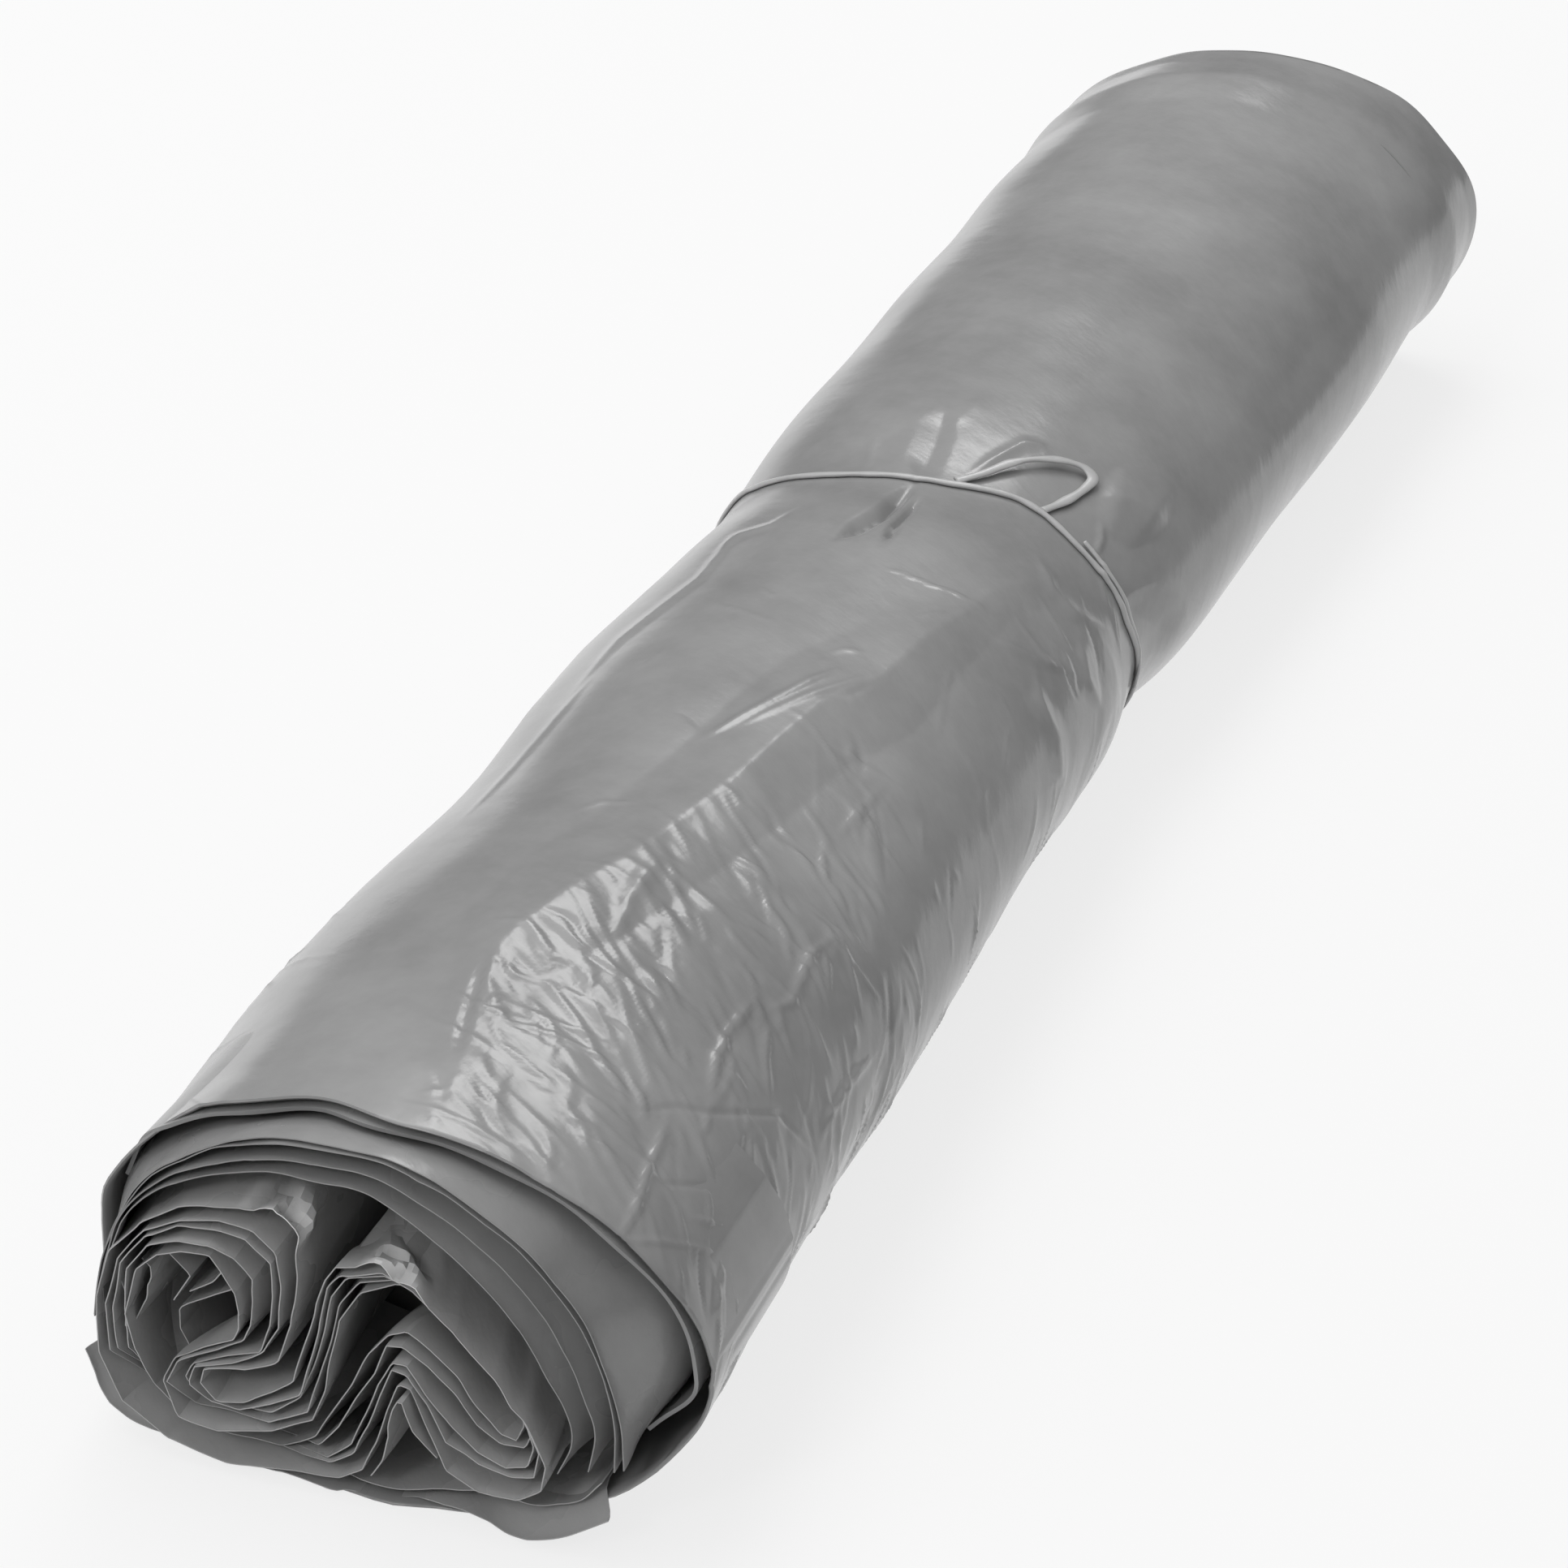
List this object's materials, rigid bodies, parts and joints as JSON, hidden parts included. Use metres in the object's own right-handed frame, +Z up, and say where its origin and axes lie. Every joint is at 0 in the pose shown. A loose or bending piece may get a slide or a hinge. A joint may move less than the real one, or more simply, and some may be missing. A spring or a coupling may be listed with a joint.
{
  "type": "bin bag roll",
  "caption": "Roll of grey bin bags, squashed to an oval, tied round its waist with a thin film band, with its folded turns showing at the ends.",
  "frame": {"origin": "on the floor under the middle of the roll's length and width", "axes": "+X along the roll, away from the end that shows its folded turns; +Z up"},
  "size_m": [0.3, 0.0676, 0.0444],
  "materials": {
    "film": "soft thin film with a low sheen, creased",
    "band": "stretched strip of thin film"
  },
  "bodies": {
    "root": {"bag_roll": "film", "tie_band": "band"}
  },
  "joints": []
}
